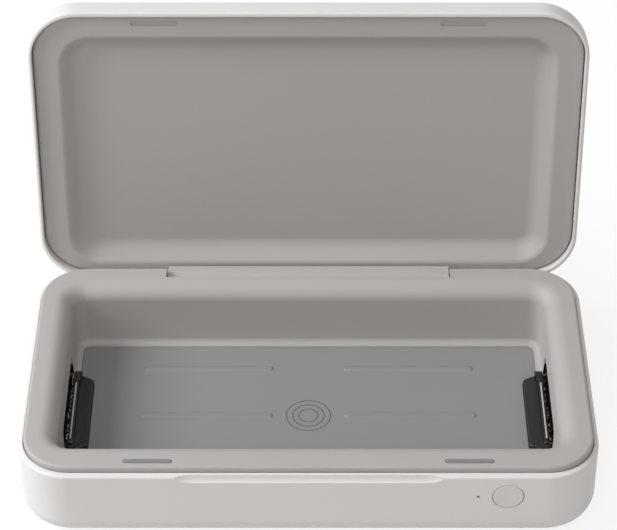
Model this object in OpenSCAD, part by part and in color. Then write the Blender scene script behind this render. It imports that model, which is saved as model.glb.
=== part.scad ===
// UV-C sanitizer box for phones with a charging floor, open lid
// Units are millimetres. X to the right, Y to the back, Z up, origin under the middle of the base.

/* [Case] */
// outer width of base and lid
case_w = 228;
// outer depth of base and lid
case_d = 128;
// plan radius of the outer corners
case_r = 21;
// height of the base's white lip
rim_z = 34;
// underside of the base shell above the table
shell_z = 0.8;
// rounding of the base's bottom edge
base_edge = 9.5;
// small rounding of both lips
lip_edge = 1.2;
// wall of both shells
wall = 2.2;

/* [Lid] */
// height of the lid's lip when closed
lid_z = 34.5;
// height of the lid shell
lid_h = 14.5;
// rounding of the lid's top edge
lid_edge = 7.5;
// how far the lid is open
lid_angle = 95.8;
// hinge axis, from the middle and above the table
hinge_y = 61.2;
hinge_z = 30;

/* [Liner] */
// top of the rolled rim
crown_z = 36.5;
// top of the floor plate
floor_z = 7.5;
// cavity width and depth just under the roll
cavity_w = 198.3;
cavity_d = 92.9;
cavity_r = 6;
// draft of the cavity walls
draft = 1.2;
// roll radius at the cavity mouth
roll = 7;

/* [Button] */
button_x = 77.7;
button_z = 23.5;
button_r = 6;
led_x = 66.05;
led_z = 23.4;

/* [Colours] */
white = [0.90, 0.89, 0.87];
grey = [0.66, 0.65, 0.64];
dark_grey = [0.52, 0.51, 0.50];
soft_grey = [0.42, 0.42, 0.41];
black = [0.06, 0.06, 0.07];
steel = [0.75, 0.75, 0.76];
aluminium = [0.80, 0.80, 0.82];
board_green = [0.05, 0.30, 0.16];
copper = [0.78, 0.43, 0.22];
ferrite_black = [0.16, 0.16, 0.17];
lamp_glass = [0.80, 0.82, 0.90];

/* [Hidden] */
$fn = 48;

// rounded rectangle
module rrect(w, d, r) {
  square([w - 2 * r, d], center = true);
  square([w, d - 2 * r], center = true);
  for (x = [-1, 1]) {
    for (y = [-1, 1]) {
      translate([x * (w / 2 - r), y * (d / 2 - r)])
        circle(r = r);
    }
  }
}

// sweeps a half section round a rounded rectangle: the section's x starts at the corner centre
module sweep_round(w, d, r) {
  cx = w / 2 - r;
  cy = d / 2 - r;
  for (q = [[cx, cy, 0], [-cx, cy, 90], [-cx, -cy, 180], [cx, -cy, 270]]) {
    translate([q[0], q[1], 0])
      rotate([0, 0, q[2]])
        rotate_extrude(angle = 90)
          children();
  }
  for (s = [0, 180]) {
    rotate([0, 0, s]) {
      translate([cx, cy, 0])
        rotate([90, 0, 0])
          linear_extrude(2 * cy)
            children();
      translate([-cx, cy, 0])
        rotate([90, 0, 90])
          linear_extrude(2 * cx)
            children();
    }
  }
}

// block with rounded plan corners, a rounded bottom edge and a small rounded top edge
module soft_block(w, d, r, h, eb, et) {
  sweep_round(w, d, r) {
    difference() {
      square([r, h]);
      difference() {
        translate([r - eb, 0])
          square([eb, eb]);
        translate([r - eb, eb])
          circle(r = eb);
      }
      if (et > 0) {
        difference() {
          translate([r - et, h - et])
            square([et, et]);
          translate([r - et, h - et])
            circle(r = et);
        }
      }
    }
  }
  translate([-(w / 2 - r), -(d / 2 - r), 0])
    cube([w - 2 * r, d - 2 * r, h]);
}

// puts parts of the lid, drawn closed, into the open pose
module lid_pose() {
  translate([0, hinge_y, hinge_z])
    rotate([-lid_angle, 0, 0])
      translate([0, -hinge_y, -hinge_z])
        children();
}

// round bar along Y, from y0 over the length
module bar_y(x, y0, z, r, length) {
  translate([x, y0, z])
    rotate([-90, 0, 0])
      cylinder(r = r, h = length);
}

// round bar along X
module bar_x(x0, y, z, r, length) {
  translate([x0, y, z])
    rotate([0, 90, 0])
      cylinder(r = r, h = length);
}

// cable through a list of points
module cable(points, r) {
  for (i = [0 : len(points) - 2]) {
    a = points[i];
    b = points[i + 1];
    v = b - a;
    l = norm(v);
    translate(a)
      rotate([0, acos(v[2] / l), atan2(v[1], v[0])])
        cylinder(r = r, h = l);
    if (i > 0) {
      translate(a)
        rotate([35, 50, 20])
          sphere(r = r * 1.35);
    }
  }
}

// cavity wall's distance from its corner centre at a height
function wall_at(z) = cavity_r + (z - (rim_z - 3)) * tan(draft);

// half section of the cavity: roll at the mouth, drafted wall, fillet and the plate opening
module cavity_section() {
  roll_c = crown_z - roll;
  roll_x = wall_at(roll_c) + roll / cos(draft);
  tan_x = roll_x - roll * cos(draft);
  tan_z = roll_c + roll * sin(draft);
  fil = 2.6;
  fil_c = floor_z + fil;
  fil_x = wall_at(fil_c) - fil / cos(draft);
  difference() {
    polygon([
      [0, floor_z],
      [wall_at(floor_z), floor_z],
      [tan_x, tan_z],
      [roll_x, tan_z],
      [roll_x, crown_z + 2],
      [0, crown_z + 2]
    ]);
    translate([roll_x, roll_c])
      circle(r = roll);
    difference() {
      polygon([
        [fil_x, floor_z - 1],
        [wall_at(floor_z) + 1, floor_z - 1],
        [wall_at(fil_c), fil_c],
        [fil_x + fil * cos(draft), fil_c - fil * sin(draft)]
      ]);
      translate([fil_x, fil_c])
        circle(r = fil);
    }
  }
}

module cavity() {
  cx = cavity_w / 2 - cavity_r;
  cy = cavity_d / 2 - cavity_r;
  sweep_round(cavity_w, cavity_d, cavity_r)
    cavity_section();
  translate([-cx, -cy, floor_z])
    cube([2 * cx, 2 * cy, crown_z + 2 - floor_z]);
}

// outside of the tub's walls
module tub_body() {
  cx = cavity_w / 2 - cavity_r;
  cy = cavity_d / 2 - cavity_r;
  sweep_round(cavity_w, cavity_d, cavity_r)
    polygon([
      [0, floor_z - 1.6],
      [wall_at(floor_z - 1.6) + 2, floor_z - 1.6],
      [wall_at(28) + 2, 28],
      [wall_at(32) + 2.9, 32],
      [wall_at(34) + 5, 34],
      [wall_at(35) + 7, 35],
      [0, 35]
    ]);
  translate([-cx, -cy, floor_z - 1.6])
    cube([2 * cx, 2 * cy, 35 - floor_z + 1.6]);
}

module base_shell() {
  color(white)
    difference() {
      union() {
        difference() {
          translate([0, 0, shell_z])
            soft_block(case_w, case_d, case_r, rim_z - shell_z, base_edge, lip_edge);
          // inside of the lower case
          translate([0, 0, shell_z + 2])
            soft_block(case_w - 2 * wall, case_d - 2 * wall, case_r - wall, 23, 7.3, 0);
          // ledge the liner stands on
          translate([0, 0, 24])
            linear_extrude(12)
              rrect(case_w - 6.4, case_d - 8, 17.9);
          // seat of the liner's skirt
          translate([0, 0, 27.5])
            linear_extrude(8)
              rrect(case_w - 3.4, case_d - 5.4, 19.2);
        }
        // screw bosses
        for (x = [-1, 1]) {
          for (y = [-1, 1]) {
            translate([x * 100, y * 48.6, 2])
              cylinder(r = 3, h = 14);
          }
        }
        // rails of the upright boards
        for (x = [16, 90]) {
          translate([x, -58.4, 2.2])
            cube([4, 5.8, 12]);
        }
        for (x = [-92, -48]) {
          translate([x, 50.6, 2.2])
            cube([4, 5.6, 10]);
        }
        // posts of the socket board
        for (x = [-6.5, 6.5]) {
          translate([x, 52, 2.2])
            cylinder(r = 2, h = 8.6);
        }
        // bearings of the hinge pins
        for (x = [60.3, -66.3]) {
          translate([x, hinge_y - 1.4, hinge_z - 1.5])
            cube([6, 2.8, 3]);
        }
      }
      // button and indicator light
      bar_y(button_x, -65, button_z, button_r + 0.25, 6);
      bar_y(button_x, -61.8, button_z, 7.8, 4);
      bar_y(led_x, -65, led_z, 0.6, 6);
      // finger scoop
      bar_x(-47.5, -67.05, rim_z, 4.35, 95);
      for (x = [-47.5, 47.5]) {
        translate([x, -67.05, rim_z])
          sphere(r = 4.35);
      }
      // hinge notch in the back wall
      translate([-60.3, 55, 24.7])
        cube([120.6, 12, 14]);
      for (x = [60, -66]) {
        bar_x(x, hinge_y, hinge_z, 0.82, 6);
      }
      // socket slot
      translate([0, 65, 14])
        rotate([90, 0, 0])
          linear_extrude(5)
            rrect(9.4, 3.7, 1.84);
      // screw wells
      for (x = [-1, 1]) {
        for (y = [-1, 1]) {
          translate([x * 100, y * 48.6, 0]) {
            cylinder(r = 1.45, h = 20);
            cylinder(r = 2.6, h = 6);
          }
        }
      }
      // slots of the boards in their rails
      translate([11.9, -56.25, 5])
        cube([82.2, 1.3, 20]);
      translate([-95.1, 52.55, 4.9])
        cube([54.2, 1.5, 20]);
      for (x = [-6.5, 6.5]) {
        translate([x, 52, 6])
          cylinder(r = 0.9, h = 6);
      }
      // recesses for the foot ring and the label
      difference() {
        linear_extrude(1.4)
          rrect(196.4, 96.4, 12.2);
        translate([0, 0, -1])
          linear_extrude(4)
            rrect(185.6, 85.6, 6.8);
      }
      translate([0, 24, 0])
        linear_extrude(1.1)
          rrect(60, 26, 3);
      // air slots
      for (x = [-48, -40, -32, 32, 40, 48]) {
        translate([x, -22, 0])
          linear_extrude(5)
            rrect(2, 18, 0.98);
      }
    }
}

module base_liner() {
  color(grey)
    difference() {
      union() {
        difference() {
          // rolled rim and skirt
          union() {
            translate([0, 0, 27.6])
              linear_extrude(crown_z - 1.2 - 27.6)
                rrect(case_w - 4, case_d - 6, 18.9);
            translate([0, 0, crown_z - 1.2])
              sweep_round(case_w - 4, case_d - 6, 18.9)
                difference() {
                  square([18.9, 1.2]);
                  difference() {
                    translate([18.9 - 1.2, 0])
                      square([1.2, 1.2]);
                    translate([18.9 - 1.2, 0])
                      circle(r = 1.2);
                  }
                }
            translate([-93.1, -42.1, crown_z - 1.2])
              cube([186.2, 84.2, 1.2]);
          }
          translate([0, 0, 26])
            linear_extrude(crown_z - 1.9 - 26)
              rrect(case_w - 7, case_d - 9.4, 17.3);
        }
        tub_body();
        // pocket of the hinge block
        translate([-61.8, 53.2, 23.2])
          cube([123.6, 6.6, 11.7]);
        // screw posts
        for (x = [-1, 1]) {
          for (y = [-1, 1]) {
            translate([x * 100, y * 48.6, 16.1])
              cylinder(r = 3, h = 19);
          }
        }
      }
      cavity();
      // opening of the floor plate
      translate([0, 0, floor_z - 3])
        linear_extrude(5)
          rrect(191.8, 86.4, 2.75);
      // lamp windows
      for (s = [-1, 1]) {
        translate([s * 90, 0, 0])
          rotate([90, 0, s * 90])
            linear_extrude(16)
              union() {
                translate([-20, 16.2])
                  square([40, 4]);
                translate([-24, 7.4])
                  square([48, 8.8]);
                for (y = [-20, 20]) {
                  translate([y, 16.2])
                    circle(r = 4);
                }
              }
      }
      // hinge notch, pin bearings and screw holes
      translate([-60.3, 54.8, 24.7])
        cube([120.6, 10, 14]);
      for (x = [60, -66.6]) {
        translate([x, 59.1, 24])
          cube([6.6, 5, 9.4]);
      }
      for (x = [-1, 1]) {
        for (y = [-1, 1]) {
          translate([x * 100, y * 48.6, 15])
            cylinder(r = 1.27, h = 13);
        }
      }
      // room for the button's flange
      translate([button_x - 8, -64, 25])
        cube([16, 4.9, 6.5]);
      // slots of the bumpers
      for (x = [-62.5, 62.5]) {
        translate([x, -57.5, crown_z - 1])
          linear_extrude(3)
            rrect(19.3, 2.2, 1.09);
      }
    }
}

module charging_plate() {
  color(dark_grey) {
    difference() {
      union() {
        translate([0, 0, floor_z - 1.8])
          linear_extrude(1.6)
            rrect(191.6, 86.2, 2.65);
        translate([0, 0, floor_z - 2.7])
          linear_extrude(1)
            rrect(196.5, 91.5, 4);
        // ribs under a phone
        for (y = [-29, 0, 29]) {
          for (s = [-1, 1]) {
            translate([s * 42.2, y, floor_z - 0.9])
              linear_extrude(1.05)
                rrect(54.8, 3.4, 1.69);
          }
        }
      }
      // seat of the coil
      translate([0, 0, floor_z - 3])
        cylinder(r = 24.5, h = 1.6);
      // openings at the lamp covers
      for (s = [0, 180]) {
        rotate([0, 0, s])
          translate([0, 0, floor_z - 4])
            linear_extrude(6)
              polygon([[89.8, -19.8], [89.8, 19.8], [94.6, 22.4], [94.6, -22.4]]);
      }
    }
  }
}

module bumper(x) {
  color(soft_grey)
    translate([x, -57.5, crown_z - 1])
      difference() {
        linear_extrude(1.25)
          rrect(19, 1.9, 0.94);
        // soft long edges
        for (s = [-1, 1]) {
          difference() {
            translate([-10, s * 0.8 - 0.25, 0.85])
              cube([20, 0.5, 0.6]);
            bar_x(-11, s * 0.55, 0.85, 0.4, 22);
          }
        }
      }
}

module bumper_left() {
  bumper(-62.5);
}

module bumper_right() {
  bumper(62.5);
}

// lamp parts are drawn for the right end, the left end is their mirror image
module both_ends(side) {
  if (side > 0) {
    children();
  } else {
    mirror([1, 0, 0])
      children();
  }
}

module lamp_cover(side) {
  color(black)
    both_ends(side)
      difference() {
        intersection() {
          translate([0, 0, 5])
            linear_extrude(5)
              polygon([[90, -19.7], [90, 19.7], [97.6, 23.8], [98.1, 23.8], [98.1, -23.8], [97.6, -23.8]]);
          translate([0, 30, 0])
            rotate([90, 0, 0])
              linear_extrude(60)
                difference() {
                  union() {
                    translate([91.2, 5])
                      square([6.9, 4.4]);
                    translate([90, 5])
                      square([8.1, 3.2]);
                    translate([91.2, 8.2])
                      circle(r = 1.2);
                  }
                  translate([94.4, 4])
                    square([6, 3.5]);
                }
        }
        bar_y(96.9, -16.9, 10.8, 1.32, 33.8);
        for (y = [-30, 16.9]) {
          bar_y(96.9, y, 10.8, 1.65, 13.1);
        }
      }
}

module lamp_cover_left() {
  lamp_cover(-1);
}

module lamp_cover_right() {
  lamp_cover(1);
}

module lamp_tube(side) {
  color(lamp_glass)
    both_ends(side)
      bar_y(96.9, -19.4, 10.8, 1.2, 38.8);
}

module lamp_tube_left() {
  lamp_tube(-1);
}

module lamp_tube_right() {
  lamp_tube(1);
}

module lamp_caps(side) {
  color(steel)
    both_ends(side)
      for (y = [-21.4, 17]) {
        difference() {
          bar_y(96.9, y, 10.8, 1.5, 4.4);
          bar_y(96.9, y < 0 ? -19.4 : 16, 10.8, 1.2, 3.4);
        }
      }
}

module lamp_caps_left() {
  lamp_caps(-1);
}

module lamp_caps_right() {
  lamp_caps(1);
}

module lamp_holders(side) {
  color(black)
    both_ends(side)
      for (y = [-23.1, 20]) {
        difference() {
          translate([94.9, y, 9.6])
            cube([3.2, 3.1, 1.7]);
          bar_y(96.9, y < 0 ? -21.4 : 19, 10.8, 1.5, y < 0 ? 4 : 2.4);
        }
      }
}

module lamp_holders_left() {
  lamp_holders(-1);
}

module lamp_holders_right() {
  lamp_holders(1);
}

module lamp_reflector(side) {
  color(aluminium)
    both_ends(side)
      union() {
        translate([0, 23.7, 0])
          rotate([90, 0, 0])
            linear_extrude(47.4)
              polygon([[98.2, 9.45], [99.3, 9.9], [100.7, 13], [101.6, 17], [102, 20.6],
                [102.7, 20.6], [102.2, 16.8], [101.3, 12.7], [99.9, 9.45], [99.6, 9.2], [98.2, 9.2]]);
        for (y = [-23.7, 23.2]) {
          translate([0, y + 0.5, 0])
            rotate([90, 0, 0])
              linear_extrude(0.5)
                polygon([[98.4, 9.45], [98.9, 15], [101.4, 16.6], [101.6, 17], [100.7, 13], [99.3, 9.9]]);
        }
      }
}

module lamp_reflector_left() {
  lamp_reflector(-1);
}

module lamp_reflector_right() {
  lamp_reflector(1);
}

module charging_coil() {
  color(copper)
    translate([0, 0, 4.85])
      difference() {
        cylinder(r = 21.5, h = 1.2);
        translate([0, 0, -1])
          cylinder(r = 10, h = 4);
      }
}

module ferrite_sheet() {
  color(ferrite_black)
    translate([0, 0, 4.2])
      cylinder(r = 22, h = 0.6);
}

module main_board() {
  color(board_green)
    difference() {
      translate([12, -56.2, 5.1])
        cube([82, 1.2, 22.9]);
      for (x = [15, 91]) {
        bar_y(x, -58, 25, 1.1, 5);
      }
    }
}

module main_chip() {
  color(black)
    translate([44, -55, 14])
      cube([9, 1.2, 7]);
}

module main_inductor() {
  color(ferrite_black)
    translate([60, -55, 9])
      cube([8, 4, 8]);
}

module main_capacitors() {
  color(black)
    for (x = [26, 36]) {
      bar_y(x, -55, 14, 3, 5);
    }
}

module wire_sockets() {
  color(white) {
    translate([72, -55, 8])
      cube([7, 4, 5]);
    translate([-60, 48.8, 8])
      cube([7, 3.8, 5]);
  }
}

module switch_body() {
  color(black)
    difference() {
      translate([button_x - 3, -59.4, button_z - 3])
        cube([6, 3.2, 6]);
      bar_y(button_x, -60, button_z, 1.7, 2.4);
    }
}

module indicator_led() {
  color(white)
    translate([led_x - 0.8, -57, led_z - 0.5])
      cube([1.6, 0.8, 1]);
}

module light_pipe() {
  color(lamp_glass)
    bar_y(led_x, -63.8, led_z, 0.5, 6.8);
}

module lid_sensor() {
  color(black)
    translate([54, -57.2, 25])
      cube([3, 1, 3]);
}

module driver_board() {
  color(board_green)
    translate([-95, 52.6, 5])
      cube([54, 1.4, 17]);
}

module driver_transformer() {
  color(ferrite_black)
    translate([-86, 54, 9])
      cube([13, 5, 9]);
}

module driver_capacitor() {
  color(black)
    bar_y(-66, 54, 13, 3, 6);
}

module usb_socket() {
  color(steel)
    union() {
      difference() {
        translate([0, 63.6, 14])
          rotate([90, 0, 0])
            linear_extrude(7.3)
              rrect(8.94, 3.26, 1.62);
        translate([0, 64, 14])
          rotate([90, 0, 0])
            linear_extrude(6.6)
              rrect(8.34, 2.66, 1.32);
      }
      translate([-3.35, 56.8, 13.65])
        cube([6.7, 5.8, 0.7]);
    }
}

module usb_board() {
  color(board_green)
    difference() {
      translate([-10, 49.4, 10.8])
        cube([20, 12, 1.5]);
      for (x = [-6.5, 6.5]) {
        translate([x, 52, 10])
          cylinder(r = 1, h = 4);
      }
    }
}

module base_magnets() {
  color(steel)
    for (x = [-62.5, 62.5]) {
      translate([x - 5, -58.2, 31.55])
        cube([10, 3.5, 3]);
    }
}

module hinge_pin_left() {
  color(steel)
    bar_x(-66, hinge_y, hinge_z, 0.8, 22);
}

module hinge_pin_right() {
  color(steel)
    bar_x(44, hinge_y, hinge_z, 0.8, 22);
}

module foot_ring() {
  color(soft_grey)
    difference() {
      linear_extrude(1.4)
        rrect(196, 96, 12);
      translate([0, 0, -1])
        linear_extrude(4)
          rrect(186, 86, 7);
    }
}

module base_screws() {
  color(steel)
    for (x = [-1, 1]) {
      for (y = [-1, 1]) {
        translate([x * 100, y * 48.6, 0])
          difference() {
            union() {
              translate([0, 0, 4.2])
                cylinder(r = 2.3, h = 1.8);
              translate([0, 0, 6])
                cylinder(r = 1.25, h = 19);
            }
            translate([-1.5, -0.3, 4])
              cube([3, 0.6, 1.2]);
            translate([-0.3, -1.5, 4])
              cube([0.6, 3, 1.2]);
          }
      }
    }
}

module lamp_cable_left() {
  color(white)
    cable([[-90, 57, 17], [-103.9, 53.9, 13], [-109, 41.5, 11.6], [-107, 26, 11.2], [-102.4, 18, 10.8]], 0.7);
}

module lamp_cable_right() {
  color(white)
    cable([[-44, 55, 16], [-36, 55.1, 7], [84, 57, 7], [103.9, 53.9, 9], [109, 41.5, 11], [107, 26, 11], [102.4, 18, 11]], 0.7);
}

module coil_cable() {
  color(copper)
    cable([[22.9, -2, 5.3], [24.4, -5, 3.8], [58, -46.8, 3.8], [73, -50, 6.5]], 0.4);
}

module power_cable() {
  color(ferrite_black)
    cable([[8.6, 50.4, 9.8], [14, 49, 4.4], [56, 42, 3.8], [70, -47.2, 3.9], [76, -50, 7]], 0.7);
}

module lid_shell() {
  color(white)
    lid_pose()
      difference() {
        translate([0, 0, lid_z + lid_h])
          mirror([0, 0, 1])
            soft_block(case_w, case_d, case_r, lid_h, lid_edge, lip_edge - 0.2);
        translate([0, 0, lid_z + lid_h - wall])
          mirror([0, 0, 1])
            soft_block(case_w - 3.2, case_d - 4.2, 19.2, lid_h, 5.6, 0);
        // leaf screws
        for (x = [-45, 0, 45]) {
          bar_y(x, 61, 40.2, 0.8, 2);
        }
      }
}

// half section of the lid pan: soft outer edge, slope and inner fillet
module pan_section() {
  a = 45;
  r1 = 2.5;
  r2 = 6;
  depth = 6;
  z0 = lid_z + 2.3;
  run = (depth - (r1 + r2) * (1 - cos(a))) / tan(a) + (r1 + r2) * sin(a);
  x1 = 14;
  x2 = x1 - run;
  difference() {
    polygon([
      [0, z0 - 2],
      [x1, z0 - 2],
      [x1, z0 + r1 - r1 * cos(a)],
      [x1 - r1 * sin(a), z0 + r1 - r1 * cos(a)],
      [x2 + r2 * sin(a), z0 + depth - r2 + r2 * cos(a)],
      [x2 + r2 * sin(a), z0 + depth],
      [0, z0 + depth]
    ]);
    translate([x1, z0 + r1])
      circle(r = r1);
    difference() {
      polygon([
        [x2, z0 + depth],
        [x2 + r2 * sin(a) + 1, z0 + depth],
        [x2 + r2 * sin(a) + 1, z0 + depth - r2 + r2 * cos(a)],
        [x2 + r2 * sin(a), z0 + depth - r2 + r2 * cos(a)]
      ]);
      translate([x2, z0 + depth - r2])
        circle(r = r2);
    }
  }
}

module lid_liner() {
  pw = 205;
  pd = 110.5;
  py = 2.75;
  z0 = lid_z + 2.3;
  color(grey)
    lid_pose()
      difference() {
        union() {
          // flat rim with a rounded edge and a short skirt
          difference() {
            translate([0, 0, z0])
              soft_block(case_w - 3.6, case_d - 4.6, 19, 4, 2, 0);
            translate([0, 0, z0 + 1.6])
              linear_extrude(6)
                rrect(case_w - 6.8, case_d - 7.8, 17.4);
          }
          // back of the pan, which lies nearer to the hinge
          translate([0, py, 0]) {
            sweep_round(pw, pd, 14)
              polygon([
                [0, z0 + 1],
                [13.9, z0 + 1],
                [13.9, z0 + 1.6],
                [9.9, z0 + 5.6],
                [7.4, z0 + 7.2],
                [4.5, z0 + 7.7],
                [0, z0 + 7.7]
              ]);
            translate([-(pw / 2 - 14), -(pd / 2 - 14), z0 + 1])
              cube([pw - 28, pd - 28, 6.7]);
          }
        }
        translate([0, py, 0]) {
          sweep_round(pw, pd, 14)
            pan_section();
          translate([-(pw / 2 - 14), -(pd / 2 - 14), z0 - 2])
            cube([pw - 28, pd - 28, 8]);
        }
        // leaf of the hinge block
        translate([-60.2, 59.5, lid_z])
          cube([120.4, 4, 9]);
        // recesses over the bumpers
        for (x = [-62.5, 62.5]) {
          translate([x, -57.7, lid_z])
            linear_extrude(3.1)
              rrect(18.6, 2, 0.98);
        }
      }
}

module hinge_block() {
  color(grey)
    lid_pose()
      difference() {
        union() {
          translate([-59.9, 57.5, 26.4])
            cube([119.8, 6.5, lid_z - 26.4]);
          translate([-59.9, 60.3, lid_z - 1])
            cube([119.8, 1.4, 8.5]);
        }
        for (x = [-61, 42]) {
          bar_x(x, hinge_y, hinge_z, 0.86, 19);
        }
        for (x = [-45, 0, 45]) {
          bar_y(x, 59, 40.2, 0.85, 4);
        }
      }
}

module lid_magnets() {
  color(steel)
    lid_pose()
      for (x = [-62.5, 62.5]) {
        translate([x - 5, -58.4, lid_z + 3.95])
          cube([10, 3.5, 3]);
      }
}

module hinge_screws() {
  color(steel)
    lid_pose()
      for (x = [-45, 0, 45]) {
        bar_y(x, 59.6, 40.2, 0.78, 3.1);
        bar_y(x, 59.05, 40.2, 1.5, 1.2);
      }
}

module button_cap() {
  color(white)
    translate([button_x, -64, button_z])
      rotate([-90, 0, 0])
        rotate_extrude()
          union() {
            difference() {
              square([button_r, 2.5]);
              difference() {
                translate([button_r - 0.35, 0])
                  square([0.35, 0.35]);
                translate([button_r - 0.35, 0.35])
                  circle(r = 0.35);
              }
            }
            translate([0, 2.3])
              square([7.5, 1]);
          }
}

module switch_plunger() {
  color(black)
    bar_y(button_x, -60.7, button_z, 1.5, 1.8);
}

base_shell();
base_liner();
charging_plate();
bumper_left();
bumper_right();
lamp_cover_left();
lamp_cover_right();
lamp_tube_left();
lamp_tube_right();
lamp_caps_left();
lamp_caps_right();
lamp_holders_left();
lamp_holders_right();
lamp_reflector_left();
lamp_reflector_right();
charging_coil();
ferrite_sheet();
main_board();
main_chip();
main_inductor();
main_capacitors();
wire_sockets();
switch_body();
indicator_led();
light_pipe();
lid_sensor();
driver_board();
driver_transformer();
driver_capacitor();
usb_socket();
usb_board();
base_magnets();
hinge_pin_left();
hinge_pin_right();
foot_ring();
base_screws();
lamp_cable_left();
lamp_cable_right();
coil_cable();
power_cable();
lid_shell();
lid_liner();
hinge_block();
lid_magnets();
hinge_screws();
button_cap();
switch_plunger();
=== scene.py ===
import math

import bmesh
import bpy
from mathutils import Matrix, Vector, noise


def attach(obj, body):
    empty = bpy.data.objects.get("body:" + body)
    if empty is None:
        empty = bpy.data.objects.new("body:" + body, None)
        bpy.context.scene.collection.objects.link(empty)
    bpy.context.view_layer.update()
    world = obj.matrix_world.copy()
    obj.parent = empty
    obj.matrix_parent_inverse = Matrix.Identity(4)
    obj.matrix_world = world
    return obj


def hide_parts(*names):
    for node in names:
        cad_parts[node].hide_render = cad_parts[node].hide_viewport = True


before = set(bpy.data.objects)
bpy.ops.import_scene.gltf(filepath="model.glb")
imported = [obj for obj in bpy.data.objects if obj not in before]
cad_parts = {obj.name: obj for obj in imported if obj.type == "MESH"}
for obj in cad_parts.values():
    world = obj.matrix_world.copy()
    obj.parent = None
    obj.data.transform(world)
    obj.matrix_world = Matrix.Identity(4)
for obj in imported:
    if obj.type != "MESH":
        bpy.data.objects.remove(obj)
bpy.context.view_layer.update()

# Camera: a long lens in front of the box, looking down into the open tub at 39 degrees,
# as a product photographer sets it so that both end walls and the lid's liner show.
camera = bpy.data.objects.new("camera", bpy.data.cameras.new("camera"))
bpy.context.scene.collection.objects.link(camera)
camera.data.lens = 140
camera.data.sensor_width = 36
camera.data.clip_start = 0.05
camera.location = (0, -0.730, 0.683)
camera.rotation_euler = (math.radians(90 - 39.2), 0, 0)
bpy.context.scene.camera = camera


# Lower case: a white ABS tub, injection moulded with a satin skin. Its lip stands round the grey
# liner, and the button, finger scoop, hinge notch, charging socket and foot ring are let into it.
def outline(bm, w, d, r, z):
    """Closed loop in millimetres: a plain rectangle whose corners are rounded."""
    corners = [bm.verts.new((x * w / 2, y * d / 2, z)) for x, y in ((1, 1), (-1, 1), (-1, -1), (1, -1))]
    for a, b in zip(corners, corners[1:] + corners[:1]):
        bm.edges.new((a, b))
    return bmesh.ops.bevel(bm, geom=corners, offset=r, offset_type="OFFSET", affect="VERTICES",
                           segments=6 if r < 2 else 20, profile=0.5, material=-1)["verts"]


def between(verts):
    """Edges whose two ends are both among the vertices."""
    group = set(verts)
    return list({e for v in group for e in v.link_edges if all(end in group for end in e.verts)})


def verts_of(geom):
    """Vertices among what a drawing step gives back."""
    return [part for part in geom if isinstance(part, bmesh.types.BMVert)]


def stack(bm, rings, ring_shaped=False):
    """Solid through outlines, each (width, depth, corner radius, height, rounding of its edge)."""
    loops = [outline(bm, *rings[0][:4])]
    followers = rings[1:] + (rings[:1] if ring_shaped else [])
    for (w0, d0, r0, z0, _), (w, d, r, z, _) in zip(rings, followers):
        grown = bmesh.ops.extrude_edge_only(bm, edges=between(loops[-1]))["geom"]
        loops.append(verts_of(grown))
        for x, y in ((1, 1), (-1, 1), (-1, -1), (1, -1)):
            corner = [v for v in loops[-1] if v.co.x * x > 0 and v.co.y * y > 0]
            was = Vector((x * (w0 / 2 - r0), y * (d0 / 2 - r0), z0))
            now = Vector((x * (w / 2 - r), y * (d / 2 - r), z))
            bmesh.ops.scale(bm, vec=(r / r0, r / r0, 1), space=Matrix.Translation(-was), verts=corner)
            bmesh.ops.translate(bm, vec=now - was, verts=corner)
    if ring_shaped:
        seam = loops[0] + loops.pop()
        bmesh.ops.remove_doubles(bm, verts=seam, dist=0.001)
        loops[0] = [v for v in seam if v.is_valid]
    else:
        bmesh.ops.contextual_create(bm, geom=between(loops[0]))
        bmesh.ops.contextual_create(bm, geom=between(loops[-1]))
    bmesh.ops.recalc_face_normals(bm, faces=bm.faces)
    places = [Vector((d / 2, z)) for _, d, _, z, _ in rings]
    if ring_shaped:
        ends = [places[-1], places[0]]
    else:
        ends = [Vector((0, rings[0][3])), Vector((0, rings[-1][3]))]
    for i, (loop, (_, _, _, _, rounding)) in enumerate(zip(loops, rings)):
        if rounding:
            before = places[i - 1] if i else ends[0]
            after = places[i + 1] if i + 1 < len(places) else ends[1]
            turn = (places[i] - before).angle(after - places[i])
            bmesh.ops.bevel(bm, geom=between(loop), offset=rounding * math.tan(turn / 2),
                            offset_type="OFFSET", affect="EDGES", segments=4 + round(rounding),
                            profile=0.5, material=-1)


def add_bar(bm, a, b, r, sides=64):
    """Round bar from one point to another."""
    a, b = Vector(a), Vector(b)
    aimed = (b - a).to_track_quat("Z", "Y").to_matrix().to_4x4()
    bmesh.ops.create_cone(bm, cap_ends=True, segments=sides, radius1=r, radius2=r,
                          depth=(b - a).length, matrix=Matrix.Translation((a + b) / 2) @ aimed)


def add_block(bm, low, high):
    """Block between two corners."""
    low, high = Vector(low), Vector(high)
    place = Matrix.Translation((low + high) / 2) @ Matrix.Diagonal(high - low).to_4x4()
    return bmesh.ops.create_cube(bm, size=1, matrix=place)["verts"]


def add_pill(bm, x, y, w, d, r, z0, z1, top=0):
    """Rounded bar lying flat, from one height to another."""
    held = set(bm.verts)
    stack(bm, [(w, d, r, z1, top), (w, d, r, z0, 0)])
    bmesh.ops.translate(bm, vec=(x, y, 0), verts=[v for v in bm.verts if v not in held])


def made(bm, name, as_drawn=False):
    """Turns a drawing in millimetres into an object in metres, with its faces outwards or as drawn."""
    if not as_drawn:
        bmesh.ops.remove_doubles(bm, verts=bm.verts, dist=0.0004)
        bmesh.ops.recalc_face_normals(bm, faces=bm.faces)
    bmesh.ops.scale(bm, vec=(0.001, 0.001, 0.001), verts=bm.verts)
    mesh = bpy.data.meshes.new(name)
    bm.to_mesh(mesh)
    bm.free()
    piece = bpy.data.objects.new(name, mesh)
    bpy.context.scene.collection.objects.link(piece)
    return piece


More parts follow.
